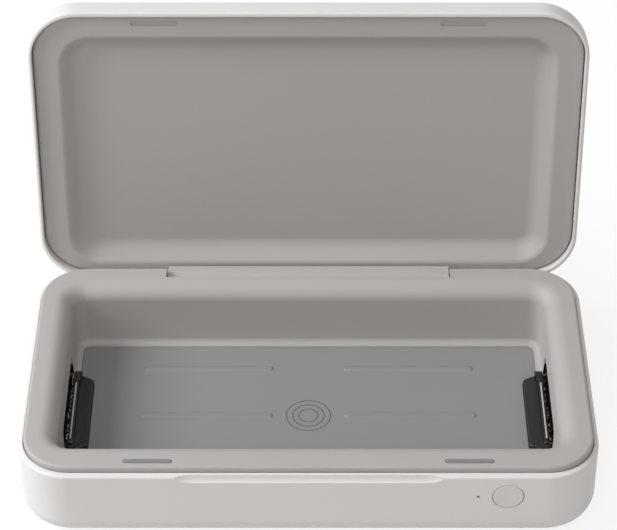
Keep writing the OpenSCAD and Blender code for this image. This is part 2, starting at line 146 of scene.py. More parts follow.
def carve(piece, tools, operation="DIFFERENCE"):
    """Settles the piece's modifiers, takes the tools out of it or joins them to it, and clears them away."""
    for tool in tools:
        step = piece.modifiers.new("Carve", "BOOLEAN")
        step.object = tool
        step.operation = operation
        step.solver = "EXACT"
    bpy.context.view_layer.update()
    graph = bpy.context.evaluated_depsgraph_get()
    whole = bpy.data.meshes.new_from_object(piece.evaluated_get(graph))
    piece.modifiers.clear()
    piece.data = whole
    for tool in tools:
        bpy.data.objects.remove(tool, do_unlink=True)


def soften(piece, edge):
    """Soft moulded edges, with a width in millimetres."""
    soft = piece.modifiers.new("Soft edges", "BEVEL")
    soft.width = edge * 0.001
    soft.segments = 2
    soft.limit_method = "ANGLE"
    soft.angle_limit = math.radians(40)
    soft.use_clamp_overlap = False


def finish(piece, material, edge=0.0, angle=32):
    """Soft edges where they are wanted, smooth shading between crisp edges, and the material."""
    if edge:
        soften(piece, edge)
    piece.data.shade_smooth()
    piece.data.set_sharp_from_angle(angle=math.radians(angle))
    even = piece.modifiers.new("Even shading", "WEIGHTED_NORMAL")
    even.keep_sharp = True
    for one in (material if isinstance(material, list) else [material]):
        if piece.data.materials.find(one.name) < 0:
            piece.data.materials.append(one)


def node(tree, kind, inputs=None, **settings):
    """Shader node with its settings, and values or sockets for its inputs."""
    one = tree.nodes.new("ShaderNode" + kind)
    for key, value in settings.items():
        setattr(one, key, value)
    for key, value in (inputs or {}).items():
        if isinstance(value, bpy.types.NodeSocket):
            tree.links.new(value, one.inputs[key])
        else:
            one.inputs[key].default_value = value
    return one


def tint(r, g, b):
    """Colour of a screen value from 0 to 255, as the shaders count it."""
    shares = [c / 255 for c in (r, g, b)]
    return tuple(c / 12.92 if c < 0.04045 else ((c + 0.055) / 1.055) ** 2.4 for c in shares) + (1,)


def moulded_skin():
    """Effect: fine eroded grain of a moulded surface, slow drift of its colour, and handling marks."""
    group = bpy.data.node_groups.new("moulded_skin", "ShaderNodeTree")
    group.interface.new_socket("Colour", in_out="INPUT", socket_type="NodeSocketColor")
    for name in ("Grain", "Speckle", "Drift", "Roughness", "Marks"):
        group.interface.new_socket(name, in_out="INPUT", socket_type="NodeSocketFloat")
    group.interface.new_socket("Colour", in_out="OUTPUT", socket_type="NodeSocketColor")
    group.interface.new_socket("Roughness", in_out="OUTPUT", socket_type="NodeSocketFloat")
    group.interface.new_socket("Height", in_out="OUTPUT", socket_type="NodeSocketFloat")
    given = group.nodes.new("NodeGroupInput").outputs
    place = node(group, "TexCoord").outputs["Object"]
    fine = node(group, "TexNoise", {"Vector": place, "Scale": given["Grain"],
                                    "Detail": 2.0, "Roughness": 0.65})
    slow = node(group, "TexNoise", {"Vector": place, "Scale": 13.0, "Detail": 3.0, "Roughness": 0.5})
    marks = node(group, "TexNoise", {"Vector": place, "Scale": 60.0, "Detail": 5.0, "Distortion": 0.8})
    fine_off, slow_off, marks_off = [
        node(group, "Math", {0: pattern.outputs["Fac"], 1: 0.5}, operation="SUBTRACT")
        for pattern in (fine, slow, marks)]
    light = node(group, "Math", {0: fine_off.outputs[0], 1: given["Speckle"], 2: 1.0},
                 operation="MULTIPLY_ADD")
    light = node(group, "Math", {0: slow_off.outputs[0], 1: given["Drift"], 2: light.outputs[0]},
                 operation="MULTIPLY_ADD")
    colour = node(group, "VectorMath", {0: given["Colour"], "Scale": light.outputs[0]}, operation="SCALE")
    rough = node(group, "Math", {0: marks_off.outputs[0], 1: given["Marks"], 2: given["Roughness"]},
                 operation="MULTIPLY_ADD")
    end = group.nodes.new("NodeGroupOutput")
    group.links.new(colour.outputs[0], end.inputs["Colour"])
    group.links.new(rough.outputs[0], end.inputs["Roughness"])
    group.links.new(fine.outputs["Fac"], end.inputs["Height"])
    return group


skin = moulded_skin()


def moulded(name, colour, grain, speckle, drift, roughness, marks, depth):
    """Plastic, rubber or metal skin from the effect above; depth is the grain's height in millimetres."""
    material = bpy.data.materials.new(name)
    material.use_nodes = True
    tree = material.node_tree
    surface = tree.nodes["Principled BSDF"]
    look = tree.nodes.new("ShaderNodeGroup")
    look.name = "skin"
    look.node_tree = skin
    look.inputs["Colour"].default_value = colour
    for key, value in (("Grain", grain), ("Speckle", speckle), ("Drift", drift),
                       ("Roughness", roughness), ("Marks", marks)):
        look.inputs[key].default_value = value
    tree.links.new(look.outputs["Colour"], surface.inputs["Base Color"])
    tree.links.new(look.outputs["Roughness"], surface.inputs["Roughness"])
    relief = node(tree, "Bump", {"Height": look.outputs["Height"], "Strength": 1.0,
                                 "Distance": depth * 0.001})
    tree.links.new(relief.outputs["Normal"], surface.inputs["Normal"])
    return material


white_satin = moulded("white_satin", tint(232, 229, 226),
                      grain=900.0, speckle=0.012, drift=0.03, roughness=0.42, marks=0.10, depth=0.002)

width, depth, corner_r, rim_z = 228.0, 128.0, 21.0, 34.0
bm = bmesh.new()
stack(bm, [
    (223.6, 123.6, 18.8, 2.8, 7.3),                  # inside of the floor and walls
    (223.6, 123.6, 18.8, 25.8, 0),
    (221.6, 120.0, 17.9, 25.8, 0),                   # ledge
    (221.6, 120.0, 17.9, 27.5, 0),
    (224.6, 122.6, 19.2, 27.5, 0),                   # seat of the liner's rim
    (224.6, 122.6, 19.2, rim_z, 0.3),
    (width, depth, corner_r, rim_z, 1.2),            # lip and outside
    (width, depth, corner_r, 0.8, 9.5)])
lower_case = made(bm, "lower_case")

screw_places = [(x, y) for x in (-100, 100) for y in (-48.6, 48.6)]
hinge_y, hinge_z = 61.2, 30.0
bm = bmesh.new()
for x, y in screw_places:
    add_bar(bm, (x, y, 2), (x, y, 16), 3, 32)
for x in (60.3, -66.3):
    add_block(bm, (x, hinge_y - 1.4, hinge_z - 1.5), (x + 6, hinge_y + 1.4, hinge_z + 1.5))
carve(lower_case, [made(bm, "bosses")], "UNION")

button_x, button_z, button_r = 77.7, 23.5, 6.0
notch_half, notch_z = 60.3, 24.7
bm = bmesh.new()
add_bar(bm, (button_x, -66, button_z), (button_x, -60, button_z), button_r + 0.25, 96)
add_bar(bm, (66.05, -66, 23.4), (66.05, -60, 23.4), 0.6, 24)
add_block(bm, (-notch_half, 55, notch_z), (notch_half, 67, notch_z + 14))
for x in (-48, -40, -32, 32, 40, 48):
    add_pill(bm, x, -22, 2, 18, 0.98, -1, 5)
holes = made(bm, "holes")

bm = bmesh.new()
add_bar(bm, (button_x, -61.8, button_z), (button_x, -57.8, button_z), button_r + 1.8, 96)
stack(bm, [(9.4, 3.7, 1.84, -2.5, 0), (9.4, 3.7, 1.84, 2.5, 0)])
socket_slot = [v for v in bm.verts if abs(v.co.y) < 3]
upright = Matrix.Rotation(math.radians(90), 3, "X")
bmesh.ops.rotate(bm, cent=(0, 0, 0), matrix=upright, verts=socket_slot)
bmesh.ops.translate(bm, vec=(0, 62.5, 14), verts=socket_slot)
for x, y in screw_places:
    add_bar(bm, (x, y, 5), (x, y, 20), 1.45, 24)
for x in (59, -66):
    add_bar(bm, (x, hinge_y, hinge_z), (x + 7, hinge_y, hinge_z), 0.82, 24)
pockets = made(bm, "pockets")

bm = bmesh.new()
stack(bm, [(196.4, 96.4, 12.2, -1, 0), (196.4, 96.4, 12.2, 1.4, 0),
           (185.6, 85.6, 6.8, 1.4, 0), (185.6, 85.6, 6.8, -1, 0)], ring_shaped=True)
foot_groove = made(bm, "foot_groove")

scoop_half, scoop_r, scoop_y, run_out_r, run_out = 46, 4.35, -67.05, 12.0, 40
bm = bmesh.new()
sideways = Matrix.Rotation(math.radians(90), 4, "Y")
right_end = bmesh.ops.create_circle(bm, segments=72, radius=scoop_r, matrix=Matrix.Translation(
    (scoop_half, scoop_y, rim_z)) @ sideways)["verts"]
drawn = bmesh.ops.extrude_edge_only(bm, edges=between(right_end))["geom"]
left_end = verts_of(drawn)
bmesh.ops.translate(bm, vec=(-2 * scoop_half, 0, 0), verts=left_end)
for end, way in ((right_end, 1), (left_end, -1)):
    bent = bmesh.ops.spin(bm, geom=end + between(end), cent=(way * scoop_half, scoop_y - run_out_r, rim_z),
                          axis=(0, 0, 1), angle=math.radians(-way * run_out), steps=14)["geom_last"]
    bmesh.ops.contextual_create(bm, geom=[g for g in bent if isinstance(g, bmesh.types.BMEdge)])
finger_scoop = made(bm, "finger_scoop")
carve(lower_case, [holes, pockets, foot_groove, finger_scoop])

soften(lower_case, 0.12)
bm = bmesh.new()
add_pill(bm, 0, 24, 60, 26, 3, -1, 1.1)
for x, y in screw_places:
    add_bar(bm, (x, y, -1), (x, y, 6), 2.6, 32)
carve(lower_case, [made(bm, "label_bed_and_screw_wells")])
finish(lower_case, white_satin)
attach(lower_case, "base")
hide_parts("base_shell")


# Liner of the tub: one grey ABS moulding with an eroded matt skin. Its rolled rim drops into the
# case's lip, its drafted walls form the tub, and four screws hold it down on the case's bosses.
liner_grey = moulded("liner_grey", tint(181, 177, 174),
                     grain=3000.0, speckle=0.075, drift=0.035, roughness=0.58, marks=0.10, depth=0.012)
crown_z, tub_floor_z = 36.5, 7.5
bm = bmesh.new()
stack(bm, [
    (224.0, 122.0, 18.9, 27.6, 0),                   # skirt inside the case's lip
    (224.0, 122.0, 18.9, crown_z, 1.2),
    (198.53, 93.13, 6.115, crown_z, 7.0),            # rolled rim
    (197.316, 91.916, 5.508, tub_floor_z, 2.6),      # drafted wall, fillet at the floor
    (191.8, 86.4, 2.75, tub_floor_z, 0),             # opening that the plate fills
    (191.8, 86.4, 2.75, 5.9, 0),
    (201.25, 95.85, 7.474, 5.9, 0),                  # outside, following the roll 2 mm away
    (202.17, 96.77, 7.937, 28.0, 0),
    (204.14, 98.74, 8.92, 32.0, 0),
    (208.43, 103.03, 11.06, 34.0, 0),
    (210.86, 105.46, 12.28, 34.6, 0),
    (221.0, 118.6, 17.3, 34.6, 0),
    (221.0, 118.6, 17.3, 27.6, 0)], ring_shaped=True)
tub_liner = made(bm, "tub_liner")

bm = bmesh.new()
add_block(bm, (-notch_half - 1.5, 53.2, notch_z - 1.5), (notch_half + 1.5, 59.8, 34.9))
carve(tub_liner, [made(bm, "hinge_pocket")], "UNION")

bumper_x, bumper_y = 62.5, -57.5
bm = bmesh.new()
add_block(bm, (-notch_half, 54.8, notch_z), (notch_half, 66.2, notch_z + 14))
add_block(bm, (button_x - 8, -64, 25), (button_x + 8, -59.1, 31.5))
for x in (-bumper_x, bumper_x):
    add_pill(bm, x, bumper_y, 19.3, 2.2, 1.09, 35.5, 38)
openings = made(bm, "openings")
bm = bmesh.new()
for x in (60, -66.6):
    add_block(bm, (x, 59.1, 24), (x + 6.6, 64.1, 33.4))
carve(tub_liner, [openings, made(bm, "bearing_room")])

soften(tub_liner, 0.15)
window_half, window_top = 24, 20.2
bm = bmesh.new()
for low, high in ((-106, -90), (90, 106)):
    window = add_block(bm, (low, -window_half, tub_floor_z - 0.1), (high, window_half, window_top))
    upper = [e for e in bm.edges if all(v in window and v.co.z > 20 for v in e.verts)
             and abs(e.verts[0].co.x - e.verts[1].co.x) > 1]
    bmesh.ops.bevel(bm, geom=upper, offset=4, offset_type="OFFSET", affect="EDGES",
                    segments=8, profile=0.5, material=-1)
carve(tub_liner, [made(bm, "lamp_windows")])
finish(tub_liner, liner_grey)
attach(tub_liner, "base")
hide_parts("base_liner")


# Charging floor: a darker grey plate clipped into the tub's floor, with six low ribs under a phone
# and plain printed rings that show where its coil lies. The plate has the liner's eroded skin.
plate_top = 7.3
bm = bmesh.new()
stack(bm, [
    (191.6, 86.2, 2.65, plate_top, 0.15),            # face
    (191.6, 86.2, 2.65, 5.8, 0),
    (196.5, 91.5, 4.0, 5.8, 0),                      # flange under the liner
    (196.5, 91.5, 4.0, 4.8, 0)])
charging_floor = made(bm, "charging_floor")

rib_x, rib_gap = 42.2, 29
bm = bmesh.new()
for x in (-rib_x, rib_x):
    for y in (-rib_gap, 0, rib_gap):
        held = set(bm.verts)
        stack(bm, [(53.5, 2.1, 1.03, 7.7, 0.4), (54.7, 3.2, 1.58, 7.32, 0), (54.7, 3.2, 1.58, 6.6, 0)])
        bmesh.ops.translate(bm, vec=(x, y, 0), verts=[v for v in bm.verts if v not in held])
carve(charging_floor, [made(bm, "ribs")], "UNION")

slot_half, slot_half_outside = 19.8, 22.4
bm = bmesh.new()
add_bar(bm, (0, 0, 4), (0, 0, 6.1), 24.5, 96)
for low, high in ((-94.6, -89.8), (89.8, 94.6)):
    slot = add_block(bm, (low, -slot_half, 3.5), (high, slot_half, 9.5))
    outside = [v for v in slot if abs(v.co.x) > 93]
    bmesh.ops.scale(bm, vec=(1, slot_half_outside / slot_half, 1), verts=outside)
carve(charging_floor, [made(bm, "seat_and_slots")])

plate_grey = moulded("plate_grey", tint(144, 143, 141),
                     grain=3000.0, speckle=0.085, drift=0.04, roughness=0.55, marks=0.10, depth=0.012)
tree = plate_grey.node_tree
spot = node(tree, "TexCoord").outputs["Object"]
flat = node(tree, "VectorMath", {0: spot, 1: (1000.0, 1000.0, 0.0)}, operation="MULTIPLY")
away = node(tree, "VectorMath", {0: flat.outputs[0]}, operation="LENGTH")
height = node(tree, "SeparateXYZ", {0: spot}).outputs["Z"]
mark = node(tree, "Math", {0: height, 1: 0.0070}, operation="GREATER_THAN")
half_line = 0.26
drawn = [node(tree, "Math", {0: away.outputs["Value"], 1: radius, 2: half_line}, operation="COMPARE")
         for radius in (9.1, 6.5, 3.9)]
rings = node(tree, "Math", {0: drawn[0].outputs[0], 1: drawn[1].outputs[0]}, operation="MAXIMUM")
rings = node(tree, "Math", {0: rings.outputs[0], 1: drawn[2].outputs[0]}, operation="MAXIMUM")
mark = node(tree, "Math", {0: mark.outputs[0], 1: rings.outputs[0]}, operation="MULTIPLY")
printed = node(tree, "Mix", {0: mark.outputs[0], 6: tree.nodes["skin"].outputs["Colour"],
                             7: tint(98, 97, 96)}, data_type="RGBA")
tree.links.new(printed.outputs[2], tree.nodes["Principled BSDF"].inputs["Base Color"])
finish(charging_floor, plate_grey, 0.08)
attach(charging_floor, "base")
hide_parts("charging_plate")


# Bumpers: two soft grey rubber pills pressed into slots of the front rim. They stand a little
# proud, cushion the lid and close the slots over the magnets.
bumper_rubber = moulded("bumper_rubber", tint(134, 133, 131),
                        grain=2400.0, speckle=0.05, drift=0.03, roughness=0.6, marks=0.08, depth=0.01)
for side, x in (("left", -bumper_x), ("right", bumper_x)):
    bm = bmesh.new()
    add_pill(bm, x, bumper_y, 19.0, 1.9, 0.85, 35.5, crown_z + 0.25, 0.4)
    pad = made(bm, "bumper_pad_" + side)
    finish(pad, bumper_rubber)
    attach(pad, "base")
    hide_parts("bumper_" + side)


# Lamp covers: glossy black ABS blocks at both ends of the floor, clipped into the tub. They shield
# the eyes from the lamp tube, which lies in a groove along their outer edge.
cover_black = moulded("cover_black", tint(40, 40, 40),
                      grain=1500.0, speckle=0.05, drift=0.08, roughness=0.16, marks=0.12, depth=0.001)
tube_x, tube_z, tube_r, cap_r = 96.9, 10.8, 1.2, 1.5
cover_half, cover_half_outside = 19.7, 23.8


def mirror(piece):
    """Turns a piece of the right end into the one of the left end."""
    piece.data.transform(Matrix.Scale(-1, 4, (1, 0, 0)))
    piece.data.flip_normals()


for side, way in (("left", -1), ("right", 1)):
    bm = bmesh.new()
    block = add_block(bm, (90, -cover_half, 5), (97.6, cover_half, 9.4))
    far = [v for v in block if v.co.x > 97]
    bmesh.ops.scale(bm, vec=(1, cover_half_outside / cover_half, 1), verts=far)
    far_face = [f for f in bm.faces if all(v in far for v in f.verts)]
    grown = bmesh.ops.extrude_face_region(bm, geom=far_face)["geom"]
    bmesh.ops.translate(bm, vec=(0.5, 0, 0), verts=verts_of(grown))
    bmesh.ops.delete(bm, geom=far_face, context="FACES")
    brow = [e for e in bm.edges if all(v.co.x < 91 and v.co.z > 9 for v in e.verts)]
    bmesh.ops.bevel(bm, geom=brow, offset=1.2, offset_type="OFFSET", affect="EDGES",
                    segments=6, profile=0.5, material=-1)
    cover = made(bm, "lamp_shield_" + side)
    bm = bmesh.new()
    add_bar(bm, (tube_x, -16.9, tube_z), (tube_x, 16.9, tube_z), tube_r + 0.12, 48)
    add_block(bm, (94.4, -30, 4), (100.4, 30, 7.5))
    groove = made(bm, "groove")
    bm = bmesh.new()
    add_bar(bm, (tube_x, -30, tube_z), (tube_x, -16.8, tube_z), cap_r + 0.15, 48)
    add_bar(bm, (tube_x, 16.8, tube_z), (tube_x, 30, tube_z), cap_r + 0.15, 48)
    carve(cover, [groove, made(bm, "ends")])
    if way < 0:
        mirror(cover)
    finish(cover, cover_black, 0.25)
    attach(cover, "base")
    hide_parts("lamp_cover_" + side)


# Lamp tubes: thin UV tubes of quartz glass, drawn and sealed round two nickel cups. The glass is drawn
# opaque and dark as painted reflection of the black cover round it, with a bright stripe along the top as a
# painted highlight. They lie in the covers' grooves, and clips hold their blackened caps.
# The tube's dark opaque colour is painted reflection: clear quartz would mirror the black cover round it.
tube_glass = moulded("tube_glass", tint(38, 38, 40),
                     grain=300.0, speckle=0.01, drift=0.02, roughness=0.06, marks=0.01, depth=0.0)
tree = tube_glass.node_tree
spot = node(tree, "SeparateXYZ", {0: node(tree, "TexCoord").outputs["Object"]})
side_of = node(tree, "Math", {0: spot.outputs["X"]}, operation="ABSOLUTE")
# Painted highlight: a light grey stripe on top of the tube, along its length up to 15 mm short of the back
# end, standing in for the glass's specular line.
painted_highlight = node(tree, "Math", {0: side_of.outputs[0], 1: tube_x * 0.001, 2: 0.00030}, operation="COMPARE")
above = node(tree, "Math", {0: spot.outputs["Z"], 1: tube_z * 0.001}, operation="GREATER_THAN")
painted_highlight = node(tree, "Math", {0: painted_highlight.outputs[0], 1: above.outputs[0]}, operation="MULTIPLY")
before = node(tree, "Math", {0: spot.outputs["Y"], 1: 0.0152}, operation="LESS_THAN")
painted_highlight = node(tree, "Math", {0: painted_highlight.outputs[0], 1: before.outputs[0]}, operation="MULTIPLY")
# Mixes the painted highlight's light grey into the tube's dark colour.
highlight_paint = node(tree, "Mix", {0: painted_highlight.outputs[0], 6: tree.nodes["skin"].outputs["Colour"],
                            7: tint(208, 207, 205)}, data_type="RGBA")
tree.links.new(highlight_paint.outputs[2], tree.nodes["Principled BSDF"].inputs["Base Color"])
nickel = moulded("nickel", tint(190, 188, 184),
                 grain=2500.0, speckle=0.08, drift=0.05, roughness=0.28, marks=0.10, depth=0.002)
nickel.node_tree.nodes["Principled BSDF"].inputs["Metallic"].default_value = 1.0
blackened = moulded("blackened_nickel", tint(84, 84, 86),
                    grain=2500.0, speckle=0.08, drift=0.05, roughness=0.22, marks=0.10, depth=0.002)
blackened.node_tree.nodes["Principled BSDF"].inputs["Metallic"].default_value = 1.0


def turned(bm, points, rounding, steps=48):
    """Faces of a solid turned about the Y axis from (y, radius) points, some of them rounded corners."""
    held = set(bm.verts)
    line = [bm.verts.new((r, y, 0)) for y, r in points]
    for a, b in zip(line, line[1:]):
        bm.edges.new((a, b))
    for i, radius in rounding.items():
        bmesh.ops.bevel(bm, geom=[line[i]], offset=radius, offset_type="OFFSET", affect="VERTICES",
                        segments=5, profile=0.5, material=-1)
    fresh = [v for v in bm.verts if v not in held]
    strip = fresh + list({e for v in fresh for e in v.link_edges})
    bmesh.ops.spin(bm, geom=strip, cent=(0, 0, 0), axis=(0, 1, 0), angle=math.radians(360),
                   steps=steps, use_merge=True)
    bmesh.ops.remove_doubles(bm, verts=[v for v in bm.verts if v not in held], dist=0.0004)
    faces = list({f for v in bm.verts if v not in held for f in v.link_faces})
    bmesh.ops.recalc_face_normals(bm, faces=faces)
    return faces


tube_end, cap_end, cap_mouth, front_cap_mouth = 19.4, 21.4, 17.0, 18.9
for side, way in (("left", -1), ("right", 1)):
    bm = bmesh.new()
    turned(bm, [(-tube_end, 0), (-tube_end, tube_r), (tube_end, tube_r), (tube_end, 0)], {1: 0.8, 2: 0.8})
    bore_faces = turned(bm, [(-18.7, 0), (-18.7, 0.85), (18.7, 0.85), (18.7, 0)], {1: 0.6, 2: 0.6})
    bmesh.ops.reverse_faces(bm, faces=bore_faces)
    for end in (-1, 1):
        cup = [(end * y, r) for y, r in ((12.5, 0.4), (12.5, 0.6), (17.6, 0.6), (17.6, 0.4), (12.5, 0.4))]
        for face in turned(bm, cup, {}, 24):
            face.material_index = 1
    bmesh.ops.translate(bm, vec=(way * tube_x, 0, tube_z), verts=bm.verts)
    tube = made(bm, "uv_tube_" + side, as_drawn=True)
    finish(tube, [tube_glass, nickel])
    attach(tube, "base")
    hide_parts("lamp_tube_" + side)

    bm = bmesh.new()
    for end, mouth in ((-1, front_cap_mouth), (1, cap_mouth)):
        turned(bm, [(end * cap_end, 0), (end * cap_end, cap_r), (end * mouth, cap_r), (end * mouth, tube_r),
                    (end * tube_end, tube_r), (end * tube_end, 0)], {1: 0.35, 2: 0.12})
    bmesh.ops.translate(bm, vec=(way * tube_x, 0, tube_z), verts=bm.verts)
    caps = made(bm, "tube_caps_" + side)
    finish(caps, blackened)
    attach(caps, "base")
    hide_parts("lamp_caps_" + side)

    bm = bmesh.new()
    for near, far in ((-23.1, -20), (20, 23.1)):
        add_block(bm, (94.9, near, 9.6), (98.1, far, 11.3))
    holders = made(bm, "tube_clips_" + side)
    soften(holders, 0.2)
    bm = bmesh.new()
    for end in (-1, 1):
        add_bar(bm, (tube_x, end * 18, tube_z), (tube_x, end * cap_end, tube_z), cap_r, 48)
    carve(holders, [made(bm, "sockets")])
    if way < 0:
        mirror(holders)
    finish(holders, cover_black)
    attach(holders, "base")
    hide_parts("lamp_holders_" + side)


# Lamp reflectors: hammered aluminium strips, pressed and bent into a shallow hollow behind each
# tube, which throw its light over the floor. Small end plates close them inside the wall's window.
hammered = moulded("hammered_aluminium", tint(168, 168, 169),
                   grain=1800.0, speckle=0.05, drift=0.05, roughness=0.07, marks=0.08, depth=0.002)
hammered.node_tree.nodes["Principled BSDF"].inputs["Metallic"].default_value = 1.0
strip_half, strip_steps = 23.6, 180
strip_section = ((98.2, 9.45), (99.3, 9.9), (100.7, 13.0), (101.6, 17.0), (102.0, 20.6))
plate_section = ((98.4, 9.45), (98.9, 15), (101.4, 16.6), (101.6, 17), (100.7, 13), (99.3, 9.9))
for side, way in (("left", -1), ("right", 1)):
    bm = bmesh.new()
    line = [bm.verts.new((x, -strip_half, z)) for x, z in strip_section]
    for a, b in zip(line, line[1:]):
        bm.edges.new((a, b))
    for v, radius in zip(line[1:4], (0.4, 1.2, 1.2)):
        bmesh.ops.bevel(bm, geom=[v], offset=radius, offset_type="OFFSET", affect="VERTICES",
                        segments=3, profile=0.5, material=-1)
    for e in [e for e in bm.edges if e.calc_length() > 0.4]:
        bmesh.ops.subdivide_edges(bm, edges=[e], cuts=int(e.calc_length() / 0.22))
    bmesh.ops.spin(bm, geom=bm.verts[:] + bm.edges[:], cent=(0, 0, 0), axis=(0, 0, 1),
                   dvec=(0, 2 * strip_half / strip_steps, 0), angle=0, steps=strip_steps)
    bmesh.ops.recalc_face_normals(bm, faces=bm.faces)
    if sum(f.normal.x for f in bm.faces) > 0:
        bmesh.ops.reverse_faces(bm, faces=bm.faces)
    bm.normal_update()
    dents = []
    for v in bm.verts:
        nearest, second = noise.voronoi(v.co * 0.85 + Vector((way * 5, 0, 0)))[0][:2]
        dents.append(v.normal * (0.34 - 0.42 * nearest ** 2) * min(1, (second - nearest) * 6 + 0.4))
    for v, dent in zip(bm.verts, dents):
        v.co += dent * 0.9
    bmesh.ops.scale(bm, vec=(way, 1, 1), verts=bm.verts)
    if way < 0:
        bmesh.ops.reverse_faces(bm, faces=bm.faces)
    reflector = made(bm, "reflector_" + side, as_drawn=True)
    wall = reflector.modifiers.new("Sheet", "SOLIDIFY")
    wall.thickness = 0.0004
    wall.offset = -1
    carve(reflector, [])
    bm = bmesh.new()
    for y in (-23.7, 23.2):
        plate = [bm.verts.new((x, y, z)) for x, z in plate_section]
        face = bmesh.ops.contextual_create(bm, geom=plate)["faces"]
        thick = bmesh.ops.extrude_face_region(bm, geom=face)["geom"]
        bmesh.ops.translate(bm, vec=(0, 0.5, 0), verts=verts_of(thick))
    bmesh.ops.scale(bm, vec=(0.001 * way, 0.001, 0.001), verts=bm.verts)
    bmesh.ops.recalc_face_normals(bm, faces=bm.faces)
    bm.from_mesh(reflector.data)
    bm.to_mesh(reflector.data)
    bm.free()
    finish(reflector, hammered, angle=60)
    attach(reflector, "base")
    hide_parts("lamp_reflector_" + side)


# Foot ring: a soft grey rubber band, moulded flat and pressed into a groove of the underside,
# on which the box rests.
foot_rubber = moulded("foot_rubber", tint(104, 103, 101),
                      grain=2000.0, speckle=0.08, drift=0.06, roughness=0.72, marks=0.12, depth=0.02)
bm = bmesh.new()
stack(bm, [(196, 96, 12, 0, 0.4), (196, 96, 12, 1.4, 0),
           (186, 86, 7, 1.4, 0), (186, 86, 7, 0, 0.4)], ring_shaped=True)
foot_band = made(bm, "foot_band")
finish(foot_band, foot_rubber)
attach(foot_band, "base")
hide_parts("foot_ring")


# Case screws: four zinc-plated self-tapping screws with cross-recessed pan heads, driven up
# through wells of the underside into the liner's posts.
zinc = moulded("zinc_plate", tint(172, 174, 176),
               grain=1800.0, speckle=0.10, drift=0.10, roughness=0.32, marks=0.15, depth=0.003)
zinc.node_tree.nodes["Principled BSDF"].inputs["Metallic"].default_value = 1.0
bm = bmesh.new()
turned(bm, [(4.2, 0), (4.2, 2.3), (6.0, 2.3), (6.0, 1.25), (24.6, 1.25), (25.0, 0)], {1: 0.6}, 40)
bmesh.ops.rotate(bm, cent=(0, 0, 0), matrix=Matrix.Rotation(math.radians(90), 3, "X"), verts=bm.verts)
screws = made(bm, "case_screws")
bm = bmesh.new()
add_block(bm, (-1.5, -0.3, 3.9), (1.5, 0.3, 5.3))
cross = made(bm, "slot_one")
bm = bmesh.new()
add_block(bm, (-0.3, -1.5, 3.9), (0.3, 1.5, 5.3))
carve(screws, [cross, made(bm, "slot_two")])
bm = bmesh.new()
bm.from_mesh(screws.data)
single = bm.verts[:] + bm.edges[:] + bm.faces[:]
for x, y in screw_places[:3]:
    copy = bmesh.ops.duplicate(bm, geom=single)["geom"]
    bmesh.ops.translate(bm, vec=(x * 0.001, y * 0.001, 0), verts=verts_of(copy))
x, y = screw_places[3]
bmesh.ops.translate(bm, vec=(x * 0.001, y * 0.001, 0), verts=verts_of(single))
bm.to_mesh(screws.data)
bm.free()
finish(screws, zinc, 0.06)
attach(screws, "base")
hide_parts("base_screws")


# Charging socket: a USB-C receptacle behind the slot of the back wall, a drawn stainless shell
# with a black tongue that carries gold-plated contacts, soldered to its own small board.
gold = moulded("gold_plate", tint(214, 176, 92),
               grain=2500.0, speckle=0.05, drift=0.04, roughness=0.25, marks=0.08, depth=0.0)
gold.node_tree.nodes["Principled BSDF"].inputs["Metallic"].default_value = 1.0
tongue_black = moulded("tongue_black", tint(30, 30, 31),
                       grain=2500.0, speckle=0.10, drift=0.05, roughness=0.45, marks=0.08, depth=0.003)
bm = bmesh.new()
stack(bm, [(8.94, 3.26, 1.62, 7.3, 0.12), (8.94, 3.26, 1.62, 0, 0.2)])
socket = made(bm, "charging_socket")
bm = bmesh.new()
stack(bm, [(8.34, 2.66, 1.32, 0.7, 0), (8.34, 2.66, 1.32, 8, 0)])
carve(socket, [made(bm, "mouth")])
bm = bmesh.new()
bm.from_mesh(socket.data)
bmesh.ops.scale(bm, vec=(1000, 1000, 1000), verts=bm.verts)
tongue = add_block(bm, (-3.35, -0.35, 0.5), (3.35, 0.35, 6.3))
for f in {f for v in tongue for f in v.link_faces}:
    f.material_index = 1
for i in range(12):
    for level in (-0.37, 0.33):
        pin = add_block(bm, (-2.87 + i * 0.5, level, 3.2), (-2.63 + i * 0.5, level + 0.04, 5.9))
        for f in {f for v in pin for f in v.link_faces}:
            f.material_index = 2
bmesh.ops.rotate(bm, cent=(0, 0, 0), matrix=Matrix.Rotation(math.radians(-90), 3, "X"), verts=bm.verts)
bmesh.ops.translate(bm, vec=(0, 56.3, 14), verts=bm.verts)
bmesh.ops.scale(bm, vec=(0.001, 0.001, 0.001), verts=bm.verts)
bm.to_mesh(socket.data)
bm.free()
finish(socket, [nickel, tongue_black, gold])
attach(socket, "base")
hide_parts("usb_socket")


# Button: a white ABS disc with a faintly dished face, turned smooth in its mould. It slides in a
# round hole of the front wall, and its flange keeps it in.
bm = bmesh.new()
turned(bm, [(-63.86, 0), (-63.9, 3.4), (-64.0, 5.2), (-64.0, button_r), (-61.7, button_r),
            (-61.7, button_r + 1.5), (-60.7, button_r + 1.5), (-60.7, 0)], {3: 0.35}, 96)
bmesh.ops.translate(bm, vec=(button_x, 0, button_z), verts=bm.verts)
button = made(bm, "power_button")
button_white = moulded("button_white", tint(226, 223, 220),
                       grain=1200.0, speckle=0.012, drift=0.02, roughness=0.40, marks=0.08, depth=0.002)
finish(button, button_white)
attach(button, "button")
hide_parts("button_cap")


